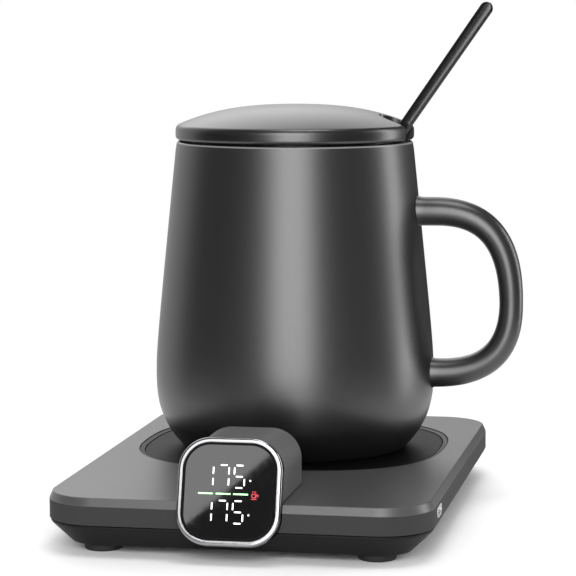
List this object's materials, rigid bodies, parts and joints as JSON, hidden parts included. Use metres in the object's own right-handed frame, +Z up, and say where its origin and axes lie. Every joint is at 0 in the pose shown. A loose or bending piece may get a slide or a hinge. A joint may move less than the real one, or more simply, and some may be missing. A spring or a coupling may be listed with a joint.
{
  "type": "self heating mug",
  "caption": "Lidded ceramic mug with loop handle and leaning spoon, standing on a flat electric warming base with a heating plate and a tilted display pod.",
  "frame": {"origin": "centre of the flat underside of the warming base, without its feet", "axes": "+X to the right, to the mug's handle and the power inlet; +Y to the back, away from the display; +Z up"},
  "size_m": [0.1316, 0.1696, 0.1607],
  "materials": {
    "glaze": "satin charcoal glaze",
    "cover_grey": "satin grey metallic paint",
    "shell_black": "fine matt",
    "rubber_black": "plain",
    "plate_coat": "dark heat-proof coating",
    "silicone_grey": "dark grey silicone",
    "chrome": "polished",
    "display_glass": "glossy black window",
    "spoon_steel": "satin black coated",
    "steel": "bright",
    "heater_foil": "etched foil between films",
    "insulation": "felted fibre",
    "circuit_board": "lacquered",
    "component_black": "moulded",
    "plastic_white": "moulded",
    "wire_red": "sleeved copper",
    "wire_white": "sleeved copper"
  },
  "bodies": {
    "base": {"base_top_cover": "cover_grey", "pod_case": "cover_grey", "base_bottom_cover": "shell_black", "rubber_foot_1": "rubber_black", "rubber_foot_2": "rubber_black", "rubber_foot_3": "rubber_black", "rubber_foot_4": "rubber_black", "heating_plate": "plate_coat", "plate_trim_ring": "silicone_grey", "pod_bezel": "chrome", "display_lens": "display_glass", "clamp_plate": "steel", "capacitor": "steel", "inlet_shell": "steel", "clamp_screw_1": "steel", "clamp_screw_2": "steel", "clamp_screw_3": "steel", "clamp_screw_4": "steel", "case_screw_1": "steel", "case_screw_2": "steel", "case_screw_3": "steel", "case_screw_4": "steel", "board_screw_1": "steel", "board_screw_2": "steel", "pod_screw_1": "steel", "pod_screw_2": "steel", "heater_disc": "heater_foil", "insulation_pad": "insulation", "main_board": "circuit_board", "display_board": "circuit_board", "inductor": "component_black", "control_chip": "component_black", "power_transistor": "component_black", "buzzer": "component_black", "temperature_sensor": "component_black", "inlet_tongue": "component_black", "thermal_fuse": "plastic_white", "wire_connector": "plastic_white", "display_connector": "plastic_white", "display_light_box": "plastic_white", "display_cable": "plastic_white", "heater_wire_tab": "wire_red", "heater_wire_fused": "wire_red", "heater_wire_return": "wire_white", "sensor_wire_1": "wire_white", "sensor_wire_2": "wire_white"},
    "mug": {"mug_body": "glaze", "mug_handle": "glaze"},
    "lid": {"lid_body": "glaze", "lid_seal": "silicone_grey"},
    "spoon": {"spoon": "spoon_steel"}
  },
  "joints": [
    {"name": "mug_lift", "type": "slide", "parent": "base", "child": "mug", "axis": [0, 0, 1], "range_m": [0, 0.12]},
    {"name": "lid_lift", "type": "slide", "parent": "mug", "child": "lid", "axis": [0, 0, 1], "range_m": [0, 0.06]},
    {"name": "spoon_draw", "type": "slide", "parent": "mug", "child": "spoon", "axis": [0.5724, -0.0501, 0.8185], "range_m": [0, 0.06]}
  ]
}
